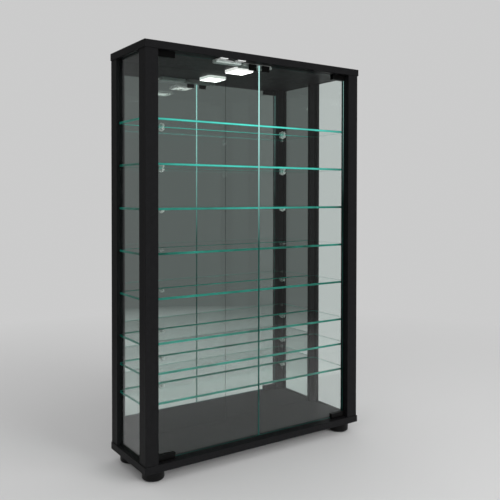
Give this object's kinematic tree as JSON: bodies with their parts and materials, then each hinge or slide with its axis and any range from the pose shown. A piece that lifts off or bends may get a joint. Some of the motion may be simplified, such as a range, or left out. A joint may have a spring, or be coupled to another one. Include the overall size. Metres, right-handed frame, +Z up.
{
  "type": "glass display cabinet",
  "caption": "Slim free-standing glass display cabinet with a black board frame, mirror back, glass shelves and two glass doors on clamp hinges.",
  "frame": {"origin": "on the floor, under the centre of the cabinet's footprint", "axes": "+Z up, -Y to the front where the doors are, +X to the right seen from the front"},
  "size_m": [0.594, 0.181, 0.924],
  "materials": {
    "black_board": "satin",
    "back_board": "matte",
    "clear_glass": "polished",
    "mirror_glass": "polished",
    "black_metal": "satin",
    "bright_steel": "satin",
    "nickel": "polished",
    "black_plastic": "satin",
    "black_rubber": "matte",
    "white_plastic": "satin",
    "pale_plastic": "satin",
    "lamp_diffuser": "satin",
    "circuit_board": "satin",
    "dowel_wood": "matte"
  },
  "bodies": {
    "root": {"back_cross_strips": "back_board", "back_panel": "back_board", "back_screws": "bright_steel", "back_side_strips": "back_board", "bottom_panel": "black_board", "door_stop": "white_plastic", "dowels": "dowel_wood", "fitting_screws": "bright_steel", "foot_front_left": "black_plastic", "foot_front_right": "black_plastic", "foot_pads": "black_rubber", "foot_rear_left": "black_plastic", "foot_rear_right": "black_plastic", "foot_screws": "bright_steel", "front_post_left": "black_board", "front_post_right": "black_board", "hinge_bushes": "black_plastic", "lamp_base": "bright_steel", "lamp_circuit": "circuit_board", "lamp_housing": "white_plastic", "lamp_lens": "lamp_diffuser", "latch_body": "pale_plastic", "latch_springs": "bright_steel", "mirror_left": "mirror_glass", "mirror_right": "mirror_glass", "peg_caps": "black_plastic", "post_screws": "bright_steel", "rear_post_left": "black_board", "rear_post_right": "black_board", "shelf_1": "clear_glass", "shelf_2": "clear_glass", "shelf_3": "clear_glass", "shelf_4": "clear_glass", "shelf_5": "clear_glass", "shelf_6": "clear_glass", "shelf_7": "clear_glass", "shelf_8": "clear_glass", "shelf_pegs": "nickel", "shelf_pins": "bright_steel", "side_glass_left": "clear_glass", "side_glass_right": "clear_glass", "top_panel": "black_board"},
    "door_left": {"door_glass_left": "clear_glass", "hinge_clamp_top_left": "black_metal", "hinge_clamp_bottom_left": "black_metal", "hinge_pivots_left": "bright_steel", "hinge_grub_screws_left": "black_metal", "hinge_pads_left": "black_rubber", "strike_plate_left": "black_metal"},
    "door_right": {"door_glass_right": "clear_glass", "hinge_clamp_top_right": "black_metal", "hinge_clamp_bottom_right": "black_metal", "hinge_pivots_right": "bright_steel", "hinge_grub_screws_right": "black_metal", "hinge_pads_right": "black_rubber", "strike_plate_right": "black_metal"},
    "plunger_left": {"latch_plunger_left": "pale_plastic", "latch_magnet_left": "nickel"},
    "plunger_right": {"latch_plunger_right": "pale_plastic", "latch_magnet_right": "nickel"}
  },
  "joints": [
    {"name": "door_left_hinge", "type": "hinge", "parent": "root", "child": "door_left", "pos_m": [-0.2525, -0.0725, 0.46], "axis": [0, 0, -1], "range_deg": [0, 105]},
    {"name": "door_right_hinge", "type": "hinge", "parent": "root", "child": "door_right", "pos_m": [0.2525, -0.0725, 0.46], "axis": [0, 0, 1], "range_deg": [0, 105]},
    {"name": "plunger_left_slide", "type": "slide", "parent": "root", "child": "plunger_left", "axis": [0, 1, 0], "range_m": [0, 0.003], "stiffness_N_per_m": 400, "springref_m": -0.004},
    {"name": "plunger_right_slide", "type": "slide", "parent": "root", "child": "plunger_right", "axis": [0, 1, 0], "range_m": [0, 0.003], "stiffness_N_per_m": 400, "springref_m": -0.004}
  ]
}
